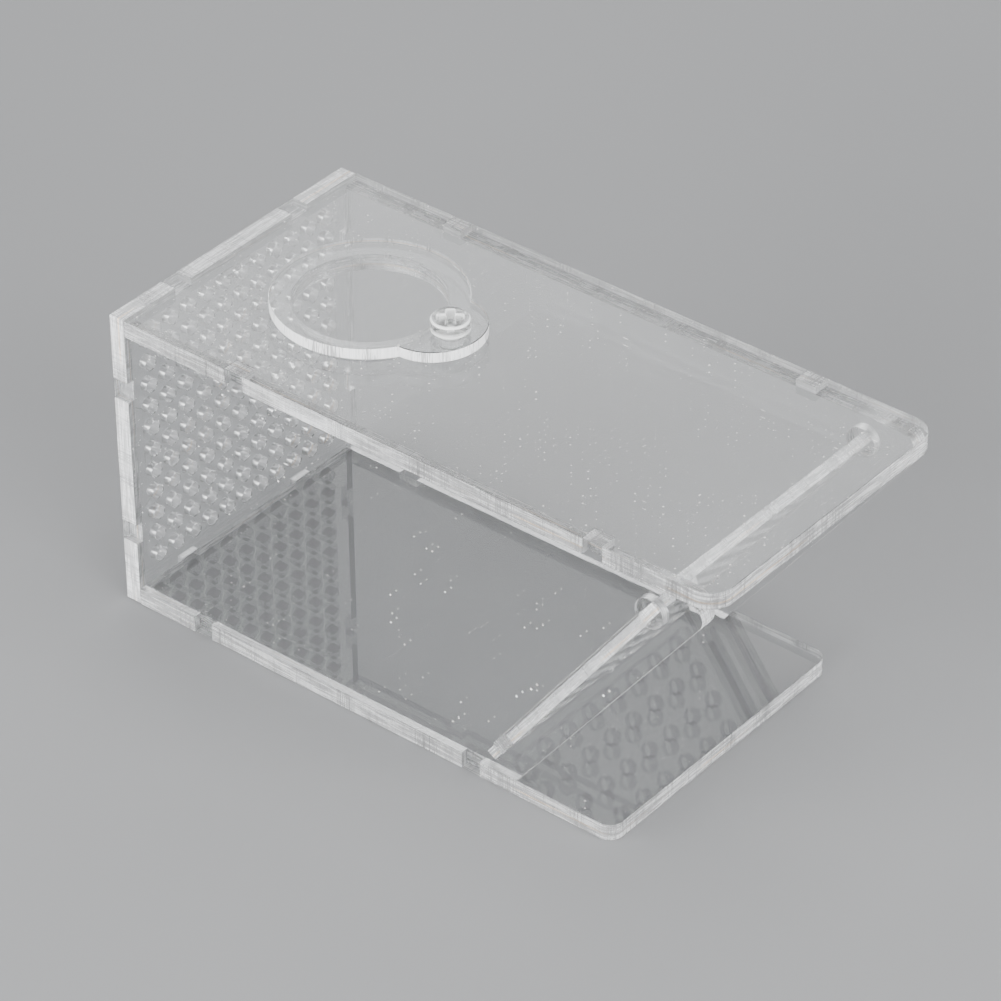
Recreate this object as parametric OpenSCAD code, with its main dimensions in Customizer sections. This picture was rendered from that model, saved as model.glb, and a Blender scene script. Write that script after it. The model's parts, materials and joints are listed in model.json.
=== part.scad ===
// Queen cage: a clear box of sheets that lock together with short fingers. One end is a perforated
// plate. The other end is closed by a sloping perforated gate that hangs in a keyhole in each side
// wall and swings in and up. A round cover turns on a screw over the feed hole in the top plate.
// X runs along the cage, Y across it and Z up. The origin is at the middle of the footprint.

/* [Body] */
// Width across the outer faces of the side walls
cage_w = 56; // [54:1:62]
// Height from the underside to the upper face of the top plate
cage_h = 55.5; // [54:0.5:58]
// Thickness of the body's sheets
sheet_t = 3; // [2.5:0.5:3.5]
// Length of the top plate, from the outer face of the end plate
top_l = 119.5; // [118:0.5:124]
// Length of the bottom plate, from the outer face of the end plate
bottom_l = 101; // [94:0.5:106]
// Length of the side walls along the bottom plate, from the outer face of the end plate
wall_foot_l = 82.2; // [81:0.2:84]
// Corner radius at the open end of the top plate
top_corner_r = 4; // [1:0.5:6]
// Corner radius at the open end of the bottom plate
bottom_corner_r = 2.5; // [1:0.5:6]
// Radius of the sharp upper corner of the side walls
wall_nose_r = 2.3; // [1:0.1:3]

/* [Fingers] */
// Width of the fingers that lock the sheets together
finger_w = 3.7; // [3:0.1:5]
// Distance from the end plate to the first finger on top of a side wall
top_finger_near = 26; // [24:0.5:28]
// Distance from the end plate to the second finger on top of a side wall
top_finger_far = 96.7; // [92:0.1:98]
// Distance from the end plate to the first finger under a side wall
foot_finger_near = 16.8; // [14:0.2:20]
// Distance from the end plate to the second finger under a side wall
foot_finger_far = 72.9; // [70:0.1:74]

/* [End plate vents] */
// Number of vents along each side of the square grid
vents_per_side = 11; // [7:1:11]
// Diameter of each vent
vent_d = 2.4; // [1.6:0.1:2.8]

/* [Feed hole and cover] */
// Distance from the end plate to the centre of the feed hole
feed_x = 30; // [26:0.5:32]
// Diameter of the feed hole
feed_d = 25; // [20:0.5:27]
// Radius of the cover's disc
cover_r = 16; // [15:0.5:18]
// Radius of the cover's ear
ear_r = 8.75; // [8:0.25:10]
// Distance from the centre of the disc to the centre of the ear's curve
ear_reach = 13; // [12:0.5:15]
// Thickness of the cover and of the gate
thin_t = 2; // [1.5:0.1:2.1]

/* [Pivot screw] */
// Distance from the centre of the disc to the screw's axis
screw_reach = 16.5; // [16:0.25:18]
// Diameter over the screw's thread
screw_d = 3.9; // [3:0.1:4.5]
// Diameter of the screw's head
head_d = 6.4; // [5.6:0.1:8]
// Height of the screw's head
head_h = 2.3; // [1.6:0.1:3]
// Length of the shank under the head
shank_l = 6.6; // [5.6:0.1:8]
// Angle that the head's cross recess stands at, in degrees
recess_turn = 40; // [0:5:85]

/* [Gate] */
// Slope of the closed gate above the bottom plate, in degrees
gate_slope = 54; // [53:0.5:56]
// Distance from the open end of the top plate back to the gate's hinge axis
hinge_back = 12.2; // [11:0.2:14]
// Distance from the top of the cage down to the gate's hinge axis
hinge_drop = 8.2; // [8:0.1:9]
// Diameter of the keyhole in each side wall
keyhole_d = 5.2; // [5:0.1:6]
// Width of the slot below each keyhole
slot_w = 2.2; // [2.2:0.1:3]
// Length of the slot, from the hinge axis to its square lower end
slot_l = 49.2; // [40:0.2:50]
// Width of the ears that turn in the keyholes
ear_w = 4.4; // [3.6:0.1:4.4]
// Gap between the gate and each side wall
side_gap = 0.25; // [0.2:0.05:1]
// Number of rows of holes, up the slope
gate_rows = 10; // [6:1:10]
// Number of columns of holes, across the gate
gate_columns = 8; // [4:1:8]
// Spacing of the rows
row_pitch = 5.5; // [4:0.1:5.5]
// Spacing of the columns
column_pitch = 5.6; // [4:0.1:5.6]
// Diameter of the holes in the gate
gate_hole_d = 2.6; // [2:0.1:3]

/* [Hidden] */

$fn = 64;
// Fine curves for the small holes
hole_fn = 24;
// How far a cutter passes a face, so that no skin is left behind
over = 1;
// How far a finger's root runs back into its own sheet
bite = 1;
// Clearance between a turning piece and the pieces beside it
running_gap = 0.05;
// Gap between the closed gate's lower edge and the bottom plate
floor_gap = 0.1;

top_z = cage_h - sheet_t;
inside_w = cage_w - 2 * sheet_t;
mid_y = cage_w / 2;
end_finger_z = [cage_h / 4, 3 * cage_h / 4];
end_finger_y = [cage_w / 4, 3 * cage_w / 4];
top_finger_x = [top_finger_near, top_finger_far];
foot_finger_x = [foot_finger_near, foot_finger_far];

vent_pitch = inside_w / (vents_per_side + 1);
vent_half_span = vent_pitch * (vents_per_side - 1) / 2;

// The open edge of a side wall rises at this angle, and its upper corner is rounded
wall_slope = atan2(top_z - sheet_t, top_l - wall_foot_l);
nose_back = wall_nose_r / sin(wall_slope / 2);
nose_centre = [top_l - nose_back * cos(wall_slope / 2), top_z - nose_back * sin(wall_slope / 2)];
nose_tangent = nose_centre + wall_nose_r * [sin(wall_slope), -cos(wall_slope)];

screw_x = feed_x + screw_reach;
screw_hole_d = screw_d + 2 * running_gap;
cover_z = cage_h + running_gap;
head_z = cover_z + thin_t + running_gap;
head_round = 0.6;
recess_w = 1.2;
recess_l = 4.4;
recess_depth = 1.5;
// The shank ends in a short chamfer
shank_lead = 0.5;

hinge_x = top_l - hinge_back;
hinge_z = cage_h - hinge_drop;
gate_up = ear_w / 2;
// The gate reaches down from its hinge until its lower corner is just above the bottom plate
gate_down = (hinge_z - sheet_t - floor_gap - thin_t / 2 * cos(gate_slope)) / sin(gate_slope);
gate_w = inside_w - 2 * side_gap;
row_middle = (gate_up - gate_down) / 2;

acrylic = [0.86, 0.9, 0.92, 0.45];
edge_lit = [0.93, 0.95, 0.96, 0.6];
nylon = [0.95, 0.96, 0.97, 0.8];

// Moves the cage so that the origin is at the middle of its footprint
module on_origin() {
    translate([-top_l / 2, -mid_y, 0]) children();
}

// A rectangle of the given length whose far corners, at high X, are rounded
module round_ended(length, corner_r) {
    straight_l = length - corner_r - sheet_t;
    translate([sheet_t, 0]) square([straight_l, cage_w]);
    translate([sheet_t, corner_r]) square([length - sheet_t, cage_w - 2 * corner_r]);
    for (y = [corner_r, cage_w - corner_r])
        translate([length - corner_r, y]) circle(r = corner_r);
}

// Outline of the top or bottom plate, with its end fingers and the notches for the walls' fingers
module plate_outline(length, corner_r, notch_x) {
    difference() {
        union() {
            round_ended(length, corner_r);
            for (y = end_finger_y)
                translate([0, y - finger_w / 2]) square([sheet_t + bite, finger_w]);
        }
        for (x = notch_x, y = [-over, cage_w - sheet_t])
            translate([x - finger_w / 2, y]) square([finger_w, sheet_t + over]);
    }
}

module end_plate() {
    color(edge_lit) on_origin() difference() {
        cube([sheet_t, cage_w, cage_h]);
        for (z = end_finger_z, y = [-over, cage_w - sheet_t])
            translate([-over, y, z - finger_w / 2])
                cube([sheet_t + 2 * over, sheet_t + over, finger_w]);
        for (y = end_finger_y, z = [-over, cage_h - sheet_t])
            translate([-over, y - finger_w / 2, z])
                cube([sheet_t + 2 * over, finger_w, sheet_t + over]);
        for (y = [-vent_half_span : vent_pitch : vent_half_span + over],
             z = [-vent_half_span : vent_pitch : vent_half_span + over])
            translate([-over, mid_y + y, cage_h / 2 + z]) rotate([0, 90, 0])
                cylinder(d = vent_d, h = sheet_t + 2 * over, $fn = hole_fn);
    }
}

module top_plate() {
    color(acrylic) on_origin() difference() {
        translate([0, 0, top_z]) linear_extrude(sheet_t)
            plate_outline(top_l, top_corner_r, top_finger_x);
        translate([feed_x, mid_y, top_z - over])
            cylinder(d = feed_d, h = sheet_t + 2 * over, $fn = 96);
        translate([screw_x, mid_y, top_z - over])
            cylinder(d = screw_hole_d, h = sheet_t + 2 * over);
    }
}

module bottom_plate() {
    color(acrylic) on_origin()
        linear_extrude(sheet_t) plate_outline(bottom_l, bottom_corner_r, foot_finger_x);
}

// Outline of a side wall, seen from the front: X to the right and Z up
module wall_outline() {
    polygon([[sheet_t, sheet_t], [wall_foot_l, sheet_t], nose_tangent, nose_centre,
             [nose_centre[0], top_z], [sheet_t, top_z]]);
    translate(nose_centre) circle(r = wall_nose_r);
    for (z = end_finger_z)
        translate([0, z - finger_w / 2]) square([sheet_t + bite, finger_w]);
    for (x = top_finger_x)
        translate([x - finger_w / 2, top_z - bite]) square([finger_w, sheet_t + bite]);
    for (x = foot_finger_x)
        translate([x - finger_w / 2, 0]) square([finger_w, sheet_t + bite]);
}

// A side wall with its outer face on the plane Y = 0
module side_wall() {
    difference() {
        translate([0, sheet_t, 0]) rotate([90, 0, 0]) linear_extrude(sheet_t) wall_outline();
        translate([hinge_x, -over, hinge_z]) rotate([-90, 0, 0])
            cylinder(d = keyhole_d, h = sheet_t + 2 * over);
        translate([hinge_x, -over, hinge_z]) rotate([0, -gate_slope, 0])
            translate([-slot_l, 0, -slot_w / 2]) cube([slot_l, sheet_t + 2 * over, slot_w]);
    }
}

module front_wall() {
    color(acrylic) on_origin() side_wall();
}

module back_wall() {
    color(acrylic) on_origin() translate([0, cage_w, 0]) mirror([0, 1, 0]) side_wall();
}

// The gate, hanging closed. Its own X runs up the slope from the hinge axis.
module gate() {
    color(edge_lit) on_origin()
        translate([hinge_x, 0, hinge_z]) rotate([0, -gate_slope, 0]) difference() {
            translate([0, 0, -thin_t / 2]) linear_extrude(thin_t) union() {
                translate([-gate_down, sheet_t + side_gap]) square([gate_down + gate_up, gate_w]);
                translate([-ear_w / 2, 0]) square([ear_w, cage_w]);
            }
            for (row = [0 : gate_rows - 1], column = [0 : gate_columns - 1])
                translate([row_middle + (row - (gate_rows - 1) / 2) * row_pitch,
                           mid_y + (column - (gate_columns - 1) / 2) * column_pitch, -thin_t / 2 - over])
                    cylinder(d = gate_hole_d, h = thin_t + 2 * over, $fn = hole_fn);
        }
}

// The cover: a disc and a smaller ear that the screw passes through
module hole_cover() {
    color(edge_lit) on_origin() translate([feed_x, mid_y, cover_z]) difference() {
        union() {
            cylinder(r = cover_r, h = thin_t, $fn = 96);
            translate([ear_reach, 0, 0]) cylinder(r = ear_r, h = thin_t);
        }
        translate([screw_reach, 0, -over]) cylinder(d = screw_hole_d, h = thin_t + 2 * over);
    }
}

// A cheese-head screw with a cross recess, standing in the top plate's tapped hole
module pivot_screw() {
    color(nylon) on_origin() translate([screw_x, mid_y, head_z]) difference() {
        rotate_extrude() {
            translate([0, -shank_l + shank_lead]) square([screw_d / 2, shank_l - shank_lead + over]);
            polygon([[0, -shank_l], [screw_d / 2 - shank_lead, -shank_l],
                     [screw_d / 2, -shank_l + shank_lead], [0, -shank_l + shank_lead]]);
            square([head_d / 2, head_h - head_round]);
            square([head_d / 2 - head_round, head_h]);
            translate([head_d / 2 - head_round, head_h - head_round]) circle(r = head_round);
        }
        for (turn = [recess_turn, recess_turn + 90])
            rotate(turn) translate([-recess_l / 2, -recess_w / 2, head_h - recess_depth])
                cube([recess_l, recess_w, recess_depth + over]);
    }
}

end_plate();
top_plate();
bottom_plate();
front_wall();
back_wall();
gate();
hole_cover();
pivot_screw();
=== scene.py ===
"""Looks of the clear queen cage: materials, the threaded pivot screw, light and camera."""

import json
import math

import bmesh
import bpy
from mathutils import Matrix, Vector


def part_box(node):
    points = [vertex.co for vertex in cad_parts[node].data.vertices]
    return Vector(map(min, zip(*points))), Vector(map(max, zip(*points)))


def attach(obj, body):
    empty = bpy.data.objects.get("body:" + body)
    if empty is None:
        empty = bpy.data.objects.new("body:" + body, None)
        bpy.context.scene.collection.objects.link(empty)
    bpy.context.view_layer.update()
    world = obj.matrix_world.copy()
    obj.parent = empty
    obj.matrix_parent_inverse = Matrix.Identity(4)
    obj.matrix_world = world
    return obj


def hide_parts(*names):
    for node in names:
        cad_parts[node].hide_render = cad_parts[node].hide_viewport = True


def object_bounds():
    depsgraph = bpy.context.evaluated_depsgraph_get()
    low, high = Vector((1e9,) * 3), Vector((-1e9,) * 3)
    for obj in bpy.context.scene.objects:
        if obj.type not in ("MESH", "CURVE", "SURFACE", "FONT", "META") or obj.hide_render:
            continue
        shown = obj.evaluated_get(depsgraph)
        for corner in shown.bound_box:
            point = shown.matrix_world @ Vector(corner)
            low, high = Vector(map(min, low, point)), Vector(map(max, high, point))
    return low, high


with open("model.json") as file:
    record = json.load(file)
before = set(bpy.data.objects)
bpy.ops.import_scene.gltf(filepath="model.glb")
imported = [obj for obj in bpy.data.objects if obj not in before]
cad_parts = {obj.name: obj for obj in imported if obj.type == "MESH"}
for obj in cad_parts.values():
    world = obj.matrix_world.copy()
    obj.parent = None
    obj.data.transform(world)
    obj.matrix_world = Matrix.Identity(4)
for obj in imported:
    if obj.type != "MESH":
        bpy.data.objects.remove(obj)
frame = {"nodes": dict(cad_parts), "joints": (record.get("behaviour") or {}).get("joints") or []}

MM = 0.001
bpy.context.view_layer.update()
cad_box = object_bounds()
nodes = frame["nodes"]
cover_joint = next(j for j in frame["joints"] if j["name"] == "cover_pivot")

# ---------------------------------------------------------------- camera

VIEW_AZIMUTH = math.radians(39.5)
VIEW_ELEVATION = math.radians(35.8)
VIEW_ROLL = math.radians(-0.5)
VIEW_DISTANCE = 0.767
VIEW_AIM = Vector((-0.0029, -0.0007, 0.0297))
LENS_MM = 174.9


def add_camera():
    """The camera looks at VIEW_AIM from the front, a little from the right and above."""
    azimuth, elevation = VIEW_AZIMUTH, VIEW_ELEVATION
    forward = Vector((-math.sin(azimuth) * math.cos(elevation),
                      math.cos(azimuth) * math.cos(elevation),
                      -math.sin(elevation)))
    level = Vector((math.cos(azimuth), math.sin(azimuth), 0))
    turned = Matrix.Rotation(VIEW_ROLL, 3, -forward)
    right = turned @ level
    up = turned @ level.cross(forward)
    camera = bpy.data.objects.new("camera", bpy.data.cameras.new("camera"))
    camera.data.lens = LENS_MM
    camera.data.clip_start = 0.01
    camera.matrix_world = (Matrix.Translation(VIEW_AIM - VIEW_DISTANCE * forward)
                           @ Matrix((right, up, -forward)).transposed().to_4x4())
    bpy.context.scene.collection.objects.link(camera)
    bpy.context.scene.camera = camera


# ---------------------------------------------------------------- node graphs


class Graph:
    """One material's node tree, with short calls that add nodes and link them."""

    def __init__(self, name):
        self.material = bpy.data.materials.new(name)
        self.material.use_nodes = True
        self.tree = self.material.node_tree
        self.tree.nodes.clear()

    def add(self, kind, inputs=None, **settings):
        """Adds a node. `inputs` maps a socket's name or index to a value or to another's output."""
        node = self.tree.nodes.new("ShaderNode" + kind)
        for key, value in settings.items():
            setattr(node, key, value)
        for key, value in (inputs or {}).items():
            if isinstance(value, bpy.types.NodeSocket):
                self.tree.links.new(value, node.inputs[key])
            else:
                node.inputs[key].default_value = value
        return node

    def math(self, operation, *values, clamp=False):
        node = self.add("Math", dict(enumerate(values)), operation=operation, use_clamp=clamp)
        return node.outputs[0]

    def vector(self, operation, *values):
        node = self.add("VectorMath", dict(enumerate(values)), operation=operation)
        return node.outputs["Value" if operation in ("DOT_PRODUCT", "LENGTH") else "Vector"]

    def join(self, x, y, z):
        """A vector from three numbers."""
        return self.add("CombineXYZ", {0: x, 1: y, 2: z}).outputs[0]

    def remap(self, value, from_low, from_high, to_low, to_high):
        """Straight-line remap, held within the two ends."""
        node = self.add("MapRange", {"Value": value, "From Min": from_low, "From Max": from_high,
                                     "To Min": to_low, "To Max": to_high})
        return node.outputs["Result"]

    def noise(self, vector, scale, detail=2.0, roughness=0.5):
        node = self.add("TexNoise", {"Vector": vector, "Scale": scale, "Detail": detail,
                                     "Roughness": roughness})
        return node.outputs["Fac"]

    def mix(self, factor, low, high):
        """Blend of two numbers."""
        return self.add("Mix", {"Factor": factor, "A": low, "B": high}).outputs["Result"]

    def mix_color(self, factor, low, high):
        node = self.add("Mix", {"Factor": factor}, data_type="RGBA")
        for name, value in (("A", low), ("B", high)):
            socket = next(s for s in node.inputs if s.name == name and s.type == "RGBA")
            if isinstance(value, bpy.types.NodeSocket):
                self.tree.links.new(value, socket)
            else:
                socket.default_value = value
        return next(s for s in node.outputs if s.type == "RGBA")

    def output(self, shader):
        self.add("OutputMaterial", {"Surface": shader})
        return self.material


# ---------------------------------------------------------------- materials

ACRYLIC_IOR = 1.49
CLEAR_TINT = (0.99, 0.996, 0.997, 1)
FROST_WHITE = (0.97, 0.975, 0.98, 1)
FROST_SHADE = (0.8, 0.81, 0.82, 1)
WARM_LINE = (0.95, 0.74, 0.55, 1)
DUST_WHITE = (0.95, 0.94, 0.92, 1)

# A surface is a cut edge or a hole's wall when its normal, along the sheet's own, is under this
CUT_FACING = 0.6

# How fast each pattern changes, in noise cells per metre
STREAK_GRAIN = 5200
PATCH_GRAIN = 240
RIDGE_GRAIN = 2600
SHADE_GRAIN = 4200
WARM_GRAIN = 45
SMEAR_GRAIN = 60

# A pattern is squeezed to these shares along the direction in which it runs straight
STREAK_SQUEEZE = 0.05
RIDGE_SQUEEZE = 0.06

WARM_LINE_DEPTH = 0.35 * MM
FROST_ROUGHNESS = (0.12, 0.32)
FROST_CLEAREST = 0.92
GROOVE_DEPTH = 0.06 * MM
DUST_ROUGHNESS = 0.7

# Kinds of dust: the grid's cell, one cell in how many holds one, and its largest radius
SPECKS = (2.8 * MM, 4, 0.18 * MM)
MOTES = (1.2 * MM, 5, 0.11 * MM)
LINT = (2.6 * MM, 22, 0.09 * MM)
LINT_TURNS = (0.5, 2.1)
LINT_SQUEEZE = 0.14

VENT_FROST = 0.35
VENT_ROUGHNESS = 0.05
SCREW_HOLE_REACH = 2.6 * MM
SCREW_HOLE_CLEAR = 0.1


def specks(graph, point, cell, one_in, size):
    """1 on scattered specks: one cell in `one_in` of a grid of that size holds one."""
    cells = graph.add("TexVoronoi", {"Vector": point, "Scale": 1 / cell},
                      voronoi_dimensions="2D")
    pick = graph.add("SeparateColor", {"Color": cells.outputs["Color"]})
    holds = graph.math("LESS_THAN", pick.outputs[0], 1 / one_in)
    radius = graph.math("MULTIPLY", pick.outputs[1], size / cell)
    inside = graph.math("LESS_THAN", cells.outputs["Distance"], radius)
    return graph.math("MULTIPLY", holds, inside)


def dust_mask(graph, flat, amount):
    """Round specks, fine motes and short threads of lint that lie on a polished face."""
    kinds = [(flat, SPECKS), (flat, MOTES)]
    for turn in LINT_TURNS:
        stretched = graph.add("Mapping", {"Vector": flat, "Rotation": (0, 0, turn),
                                          "Scale": (LINT_SQUEEZE, 1, 1)}).outputs[0]
        kinds.append((stretched, LINT))
    mask = 0.0
    for point, (cell, one_in, size) in kinds:
        mask = graph.math("MAXIMUM", mask, specks(graph, point, cell, one_in / amount, size))
    return mask


def sheet_directions(normal):
    """Two directions that lie in a sheet, at right angles to each other, the first level."""
    level = Vector((0, 0, 1)).cross(normal)
    first = level.normalized() if level.length > 0.4 else Vector((1, 0, 0))
    return first, normal.cross(first)


def inside_vents(graph, level, slope, vents):
    """1 inside the vents' area, which is the low and high end along each of two directions."""
    inside = 1.0
    for way, (low, high) in zip((level, slope), vents):
        inside = graph.math("MULTIPLY", inside, graph.math("GREATER_THAN", way, low))
        inside = graph.math("MULTIPLY", inside, graph.math("LESS_THAN", way, high))
    return inside


def sheet_material(name, normal, middle, dust, haze, milk, ridges, vents):
    """Laser-cut clear acrylic. `normal` is the sheet's own normal and `middle` how far along it the
    sheet's middle lies. Surfaces that face along the normal are polished, and the cut edges, which
    face across it, are frosted and striated. `milk` is how white they are and `ridges` how far
    lines along them clear the frost. `vents` is the low and high end, along the sheet's two
    directions, of an area whose hole walls came out glossy, or empty."""
    graph = Graph(name)
    coords = graph.add("TexCoord")
    point = coords.outputs["Object"]
    normal = Vector(normal).normalized()
    first, second = sheet_directions(normal)

    facing = graph.vector("DOT_PRODUCT", coords.outputs["Normal"], tuple(normal))
    cut = graph.math("LESS_THAN", graph.math("ABSOLUTE", facing), CUT_FACING)
    upper = graph.math("GREATER_THAN", facing, CUT_FACING)
    level = graph.vector("DOT_PRODUCT", point, tuple(first))
    slope = graph.vector("DOT_PRODUCT", point, tuple(second))
    depth = graph.math("SUBTRACT", graph.vector("DOT_PRODUCT", point, tuple(normal)), middle)

    # Striations run straight across the sheet, and fainter ridges run along its edge
    flat = graph.join(level, slope, graph.math("MULTIPLY", depth, STREAK_SQUEEZE))
    layers = graph.join(graph.math("MULTIPLY", level, RIDGE_SQUEEZE),
                        graph.math("MULTIPLY", slope, RIDGE_SQUEEZE), depth)
    fine = graph.noise(flat, STREAK_GRAIN, detail=2, roughness=0.6)
    patch = graph.noise(flat, PATCH_GRAIN, detail=2)
    streak = graph.mix(0.5, fine, patch)
    ridge = graph.remap(graph.noise(layers, RIDGE_GRAIN, detail=2), 0.4, 0.62, 1.0 - ridges, 1.0)
    frost = graph.math("MULTIPLY", graph.remap(streak, 0.34, 0.5, 0.3, 1.0), ridge)
    glossy = inside_vents(graph, level, slope, vents) if vents else 0.0
    frost = graph.mix(glossy, frost, VENT_FROST)
    shade = graph.remap(graph.noise(flat, SHADE_GRAIN, detail=1), 0.35, 0.6, 0.0, 1.0)

    # Some stretches of the cut edge carry a thin warm line
    off_line = graph.math("ABSOLUTE", graph.math("ADD", depth, WARM_LINE_DEPTH))
    line = graph.remap(off_line, 0.06 * MM, 0.22 * MM, 1.0, 0.0)
    stretch = graph.remap(graph.noise(flat, WARM_GRAIN, detail=1), 0.52, 0.6, 0.0, 0.8)
    warm = graph.math("MULTIPLY", line, stretch)

    # The screw's hole is milky all the way down
    off_axis = graph.vector("LENGTH", graph.vector("MULTIPLY", (1, 1, 0), graph.vector(
        "SUBTRACT", point, tuple(cover_joint["pos_m"]))))
    bore = graph.math("LESS_THAN", off_axis, SCREW_HOLE_REACH)

    grime = graph.math("MULTIPLY", dust_mask(graph, flat, dust), upper)
    smear = graph.noise(point, SMEAR_GRAIN, detail=5, roughness=0.62)
    polished_rough = graph.remap(smear, 0.5, 0.75, 0.0, 0.02 + haze)
    film = graph.remap(smear, 0.45, 0.8, 1.0, 1.0 - 1.2 * haze)

    cut_rough = graph.mix(glossy, graph.remap(frost, 0, 1, *FROST_ROUGHNESS), VENT_ROUGHNESS)
    rough = graph.mix(grime, graph.mix(cut, polished_rough, cut_rough), DUST_ROUGHNESS)
    cut_clear = graph.mix(bore, graph.remap(frost, 0, 1, FROST_CLEAREST, 1.0 - milk),
                          SCREW_HOLE_CLEAR)
    clear_share = graph.mix(grime, graph.mix(cut, film, cut_clear), 0.0)
    cut_color = graph.mix_color(warm, graph.mix_color(shade, FROST_SHADE, FROST_WHITE), WARM_LINE)
    color = graph.mix_color(grime, graph.mix_color(cut, CLEAR_TINT, cut_color), DUST_WHITE)

    grooved = graph.math("MULTIPLY", cut, graph.math("SUBTRACT", 1.0, glossy))
    bump = graph.add("Bump", {"Height": graph.math("MULTIPLY", fine, grooved), "Strength": 0.6,
                              "Distance": GROOVE_DEPTH})
    shader = graph.add("BsdfPrincipled", {
        "Base Color": color,
        "Roughness": rough,
        "IOR": ACRYLIC_IOR,
        "Transmission Weight": clear_share,
        "Normal": bump.outputs[0],
    })
    return graph.output(shader.outputs[0])


def screw_material():
    """Clear moulded plastic with a faint grain, milky on its sloping recess and thread."""
    graph = Graph("clear_screw_plastic")
    coords = graph.add("TexCoord")
    point = coords.outputs["Object"]
    rise = graph.math("ABSOLUTE", graph.vector("DOT_PRODUCT", coords.outputs["Normal"], (0, 0, 1)))
    slope = graph.math("MULTIPLY", graph.remap(rise, 0.12, 0.3, 0, 1),
                       graph.remap(rise, 0.8, 0.95, 1, 0))
    cloud = graph.noise(point, 900, detail=3)
    grain = graph.noise(point, 5200, detail=2)
    bump = graph.add("Bump", {"Height": grain, "Strength": 0.15, "Distance": 0.05 * MM})
    shader = graph.add("BsdfPrincipled", {
        "Base Color": (0.97, 0.98, 0.975, 1),
        "Roughness": graph.mix(slope, graph.remap(cloud, 0.35, 0.65, 0.02, 0.08), 0.3),
        "IOR": 1.53,
        "Transmission Weight": graph.mix(slope, graph.remap(cloud, 0.35, 0.65, 0.98, 0.9), 0.3),
        "Normal": bump.outputs[0],
    })
    return graph.output(shader.outputs[0])


def floor_material():
    graph = Graph("pale_floor")
    point = graph.add("TexCoord").outputs["Object"]
    tone = graph.remap(graph.noise(point, 6, detail=3), 0.3, 0.7, 0.0, 1.0)
    color = graph.mix_color(tone, (0.265, 0.268, 0.273, 1), (0.28, 0.283, 0.288, 1))
    shader = graph.add("BsdfPrincipled", {"Base Color": color, "Roughness": 0.75,
                                          "Specular IOR Level": 0.2})
    return graph.output(shader.outputs[0])


# ---------------------------------------------------------------- the sheets

AIR_GAP = 0.03 * MM
EDGE_BREAK = 0.1 * MM
EDGE_ANGLE = math.radians(40)
WELD_REACH = 0.002 * MM
# How far inside a sheet's ends its vents lie, along its two directions
VENT_MARGINS = {"end_plate": (4 * MM, 4 * MM), "gate": (5 * MM, 1 * MM)}


def sheet_normal(name):
    """The normal of a CAD sheet's largest face, turned to point up, or outward if it's level."""
    normal = max(nodes[name].data.polygons, key=lambda face: face.area).normal.copy()
    low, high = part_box(name)
    outward = ((Vector(low) + Vector(high)) / 2).dot(normal)
    wrong_way = normal.z < 0 if abs(normal.z) > 0.1 else outward < 0
    return -normal if wrong_way else normal


def sheet_middle(name, normal):
    """How far along its normal a CAD sheet's middle lies."""
    along = [vertex.co.dot(normal) for vertex in nodes[name].data.vertices]
    return (min(along) + max(along)) / 2


def vent_area(name, normal):
    """Low and high ends, along a sheet's two directions, of its vents' area, if it has vents."""
    ends = []
    for way, margin in zip(sheet_directions(normal), VENT_MARGINS.get(name, ())):
        along = [vertex.co.dot(way) for vertex in nodes[name].data.vertices]
        ends.append((min(along) + margin, max(along) - margin))
    return ends


def finish_sheet(name, dust, haze=0.0, milk=0.45, ridges=0.55):
    """Gives a CAD sheet its material, a hair of air around it and broken edges that catch light."""
    node = nodes[name]
    normal = sheet_normal(name)
    material = sheet_material(name + "_acrylic", normal, sheet_middle(name, normal), dust, haze,
                              milk, ridges, vent_area(name, normal))
    node.data.materials.clear()
    node.data.materials.append(material)
    weld = node.modifiers.new("weld", "WELD")
    weld.merge_threshold = WELD_REACH
    gap = node.modifiers.new("air_gap", "DISPLACE")
    gap.strength = -AIR_GAP
    gap.mid_level = 0
    bevel = node.modifiers.new("edge_break", "BEVEL")
    bevel.width = EDGE_BREAK
    bevel.segments = 1
    bevel.limit_method = "ANGLE"
    bevel.angle_limit = EDGE_ANGLE
    normals = node.modifiers.new("normals", "WEIGHTED_NORMAL")
    normals.keep_sharp = True


def finish_sheets():
    finish_sheet("top_plate", dust=1.6, haze=0.02)
    finish_sheet("bottom_plate", dust=0.12, haze=0.01)
    finish_sheet("front_wall", dust=0.3)
    finish_sheet("back_wall", dust=0.3)
    finish_sheet("end_plate", dust=0.2, milk=0.75)
    finish_sheet("gate", dust=0.2, milk=0.6)
    finish_sheet("hole_cover", dust=0.3, milk=0.85, ridges=0.0)


# ---------------------------------------------------------------- the pivot screw

THREAD_PITCH = 0.7 * MM
THREAD_DEPTH = 0.36 * MM
HEAD_ROUND = 0.6 * MM
HEAD_EDGE = 0.12 * MM
HEAD_CLEARANCE = 0.05 * MM
CREST_RADIUS = 1.93 * MM
THREAD_FADE = 0.8 * MM
THREAD_SHARPNESS = 1.35
TIP_TAPER = 0.45 * MM
TIP_LENGTH = 0.5 * MM
RECESS_TURN = math.radians(40)
RECESS_LENGTH = 4.6 * MM
RECESS_WIDTH = 1.7 * MM
RECESS_DEPTH = 1.55 * MM
RECESS_FLARE = 0.5 * MM
RECESS_END_FLARE = 0.8 * MM
SHARP_ANGLE = math.radians(50)
SCREW_STEPS = 96
SHANK_ROWS = 150
ROUND_ROWS = 8
TOP_ROWS = 36


def smooth_step(value):
    value = min(max(value, 0.0), 1.0)
    return value * value * (3 - 2 * value)


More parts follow.
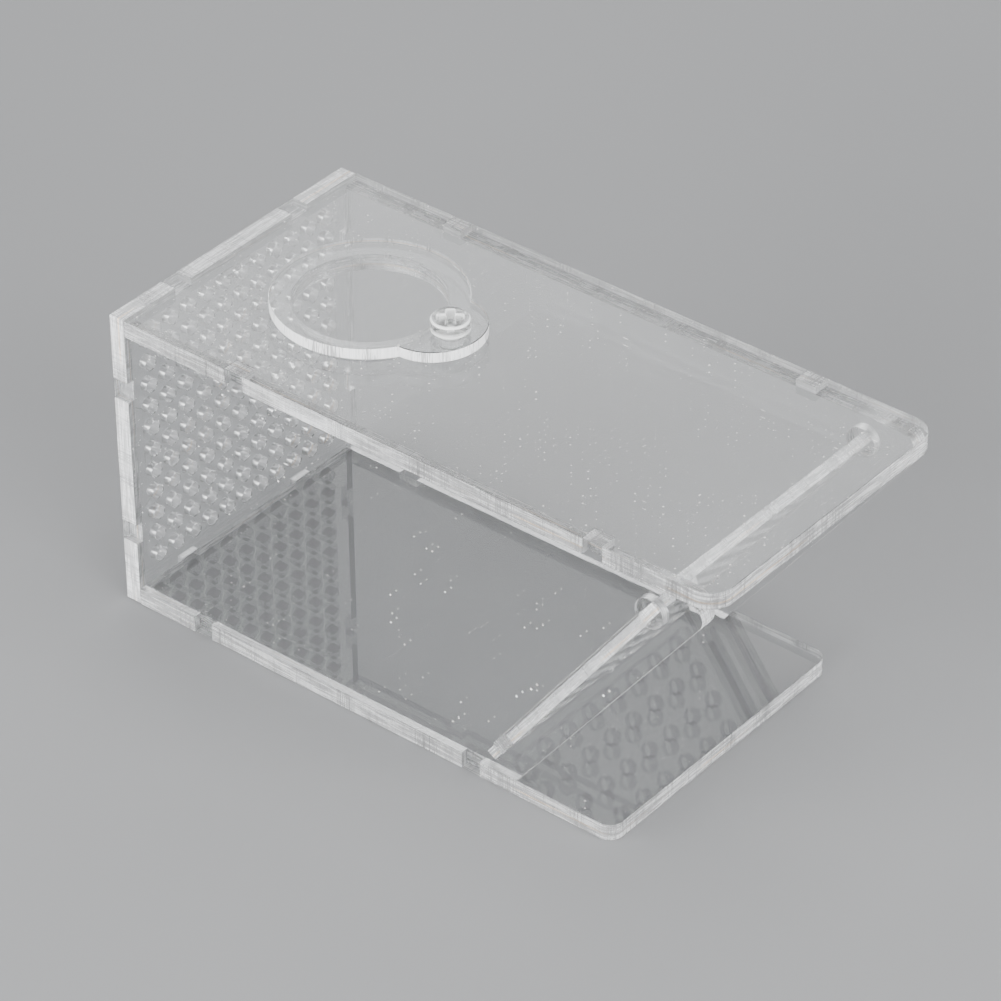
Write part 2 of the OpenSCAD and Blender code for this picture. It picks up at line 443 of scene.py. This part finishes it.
def recess_depth(x, y):
    """How deep the cross recess lies under the head's top at a point measured from the axis."""
    deepest = 0.0
    for turn in (RECESS_TURN, RECESS_TURN + math.pi / 2):
        along = abs(x * math.cos(turn) + y * math.sin(turn))
        across = abs(y * math.cos(turn) - x * math.sin(turn))
        side = (RECESS_WIDTH / 2 - across) / RECESS_FLARE
        end = (RECESS_LENGTH / 2 - along) / RECESS_END_FLARE
        deepest = max(deepest, RECESS_DEPTH * smooth_step(min(side, end)))
    return deepest


def ring_points(axis, radius_at, height_at, count):
    """One ring of points round a vertical axis; radius and height may change with the angle."""
    points = []
    for step in range(count):
        angle = 2 * math.pi * step / count
        radius = radius_at(angle)
        points.append((axis.x + radius * math.cos(angle), axis.y + radius * math.sin(angle),
                       height_at(radius * math.cos(angle), radius * math.sin(angle))))
    return points


def skin_rings(name, rings, bottom, top):
    """A closed mesh through rings of points, capped at a bottom and a top point."""
    mesh_builder = bmesh.new()
    rows = [[mesh_builder.verts.new(point) for point in ring] for ring in rings]
    count = len(rows[0])
    low, high = mesh_builder.verts.new(bottom), mesh_builder.verts.new(top)
    for step in range(count):
        after = (step + 1) % count
        mesh_builder.faces.new((low, rows[0][after], rows[0][step]))
        mesh_builder.faces.new((high, rows[-1][step], rows[-1][after]))
        for lower, upper in zip(rows, rows[1:]):
            mesh_builder.faces.new((lower[step], lower[after], upper[after], upper[step]))
    mesh = bpy.data.meshes.new(name)
    mesh_builder.to_mesh(mesh)
    mesh_builder.free()
    for face in mesh.polygons:
        face.use_smooth = True
    mesh.set_sharp_from_angle(angle=SHARP_ANGLE)
    piece = bpy.data.objects.new(name, mesh)
    bpy.context.scene.collection.objects.link(piece)
    return piece


def thread_radius(z, bottom, top):
    """Radius by angle at height z. The thread dies out at the tip and under the head."""
    fade = smooth_step((z - bottom) / THREAD_FADE) * smooth_step((top - z) / THREAD_FADE)
    taper = TIP_TAPER * (1 - smooth_step((z - bottom) / TIP_LENGTH))

    def radius(angle):
        turn = (z / THREAD_PITCH - angle / (2 * math.pi)) % 1
        groove = smooth_step(abs(2 * turn - 1) * THREAD_SHARPNESS)
        return CREST_RADIUS - taper - THREAD_DEPTH * groove * fade
    return radius


def head_height(head_radius, top):
    """Height of the head's top, by place from the axis: a rounded rim and the cross recess."""
    def height(x, y):
        beyond = math.hypot(x, y) - (head_radius - HEAD_ROUND)
        fall = HEAD_ROUND - math.sqrt(max(HEAD_ROUND ** 2 - max(beyond, 0.0) ** 2, 0.0))
        return top - fall - recess_depth(x, y)
    return height


def build_screw():
    """The pivot screw with a cut thread, a rounded head and a flared cross recess."""
    low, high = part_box("pivot_screw")
    axis = Vector(cover_joint["pos_m"])
    head_radius = (high.x - low.x) / 2
    flat_radius = head_radius - HEAD_ROUND
    head_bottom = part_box("hole_cover")[1].z + HEAD_CLEARANCE
    top_height = head_height(head_radius, high.z)
    rings = []

    def add_ring(radius_at, height_at):
        rings.append(ring_points(axis, radius_at, height_at, SCREW_STEPS))

    for row in range(SHANK_ROWS + 1):
        z = low.z + (head_bottom - low.z) * row / SHANK_ROWS
        add_ring(thread_radius(z, low.z, head_bottom), lambda x, y: z)
    for radius, z in ((head_radius - HEAD_EDGE, head_bottom),
                      (head_radius, head_bottom + HEAD_EDGE),
                      (head_radius, high.z - HEAD_ROUND)):
        add_ring(lambda angle: radius, lambda x, y: z)
    for row in range(1, ROUND_ROWS):
        radius = flat_radius + HEAD_ROUND * math.cos(math.pi / 2 * row / ROUND_ROWS)
        add_ring(lambda angle: radius, top_height)
    for row in range(TOP_ROWS):
        radius = flat_radius * (1 - row / TOP_ROWS)
        add_ring(lambda angle: radius, top_height)
    screw = skin_rings("threaded_screw", rings, (axis.x, axis.y, low.z),
                       (axis.x, axis.y, top_height(0, 0)))
    screw.data.materials.append(screw_material())
    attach(screw, "root")
    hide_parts("pivot_screw")


# ---------------------------------------------------------------- the studio


FLOOR_HALF = 4.0
FLOOR_DROP = 0.15 * MM


def add_floor():
    """A square floor, a hair under the cage so that the two faces don't flicker."""
    mesh = bpy.data.meshes.new("floor")
    half = FLOOR_HALF
    z = cad_box[0].z - FLOOR_DROP
    mesh.from_pydata([(-half, -half, z), (half, -half, z), (half, half, z), (-half, half, z)],
                     [], [(0, 1, 2, 3)])
    floor = bpy.data.objects.new("floor", mesh)
    floor.data.materials.append(floor_material())
    bpy.context.scene.collection.objects.link(floor)


def add_softbox(name, place, width, height, power):
    """A rectangular soft light that faces the middle of the cage."""
    light = bpy.data.lights.new(name, "AREA")
    light.shape = "RECTANGLE"
    light.size = width
    light.size_y = height
    light.energy = power
    box = bpy.data.objects.new(name, light)
    place = Vector(place)
    box.location = place
    box.rotation_mode = "QUATERNION"
    box.rotation_quaternion = (VIEW_AIM - place).to_track_quat("-Z", "Y")
    box.visible_camera = False
    bpy.context.scene.collection.objects.link(box)


def add_world():
    """A soft grey room that is lighter round the sides than overhead."""
    world = bpy.data.worlds.new("studio")
    world.use_nodes = True
    tree = world.node_tree
    coords = tree.nodes.new("ShaderNodeTexCoord")
    split = tree.nodes.new("ShaderNodeSeparateXYZ")
    ramp = tree.nodes.new("ShaderNodeValToRGB")
    ramp.color_ramp.interpolation = "EASE"
    ramp.color_ramp.elements[0].position = 0.05
    ramp.color_ramp.elements[0].color = (1.3, 1.31, 1.33, 1)
    ramp.color_ramp.elements[1].position = 0.8
    ramp.color_ramp.elements[1].color = (0.28, 0.285, 0.295, 1)
    background = tree.nodes["Background"]
    tree.links.new(coords.outputs["Generated"], split.inputs[0])
    tree.links.new(split.outputs["Z"], ramp.inputs[0])
    tree.links.new(ramp.outputs[0], background.inputs["Color"])
    background.inputs["Strength"].default_value = 1.0
    bpy.context.scene.world = world


def light_scene():
    add_world()
    add_softbox("overhead", (0.0, 0.1, 1.1), 0.7, 0.7, 5)
    add_softbox("back_left", (-0.55, 0.68, 0.62), 0.9, 0.7, 2.9)
    add_softbox("front", (-0.3, -0.9, 0.26), 1.4, 0.45, 28)
    add_softbox("right", (0.95, -0.1, 0.26), 1.2, 0.45, 24)


# ---------------------------------------------------------------- build

add_camera()
light_scene()
add_floor()
finish_sheets()
build_screw()

bpy.context.view_layer.update()
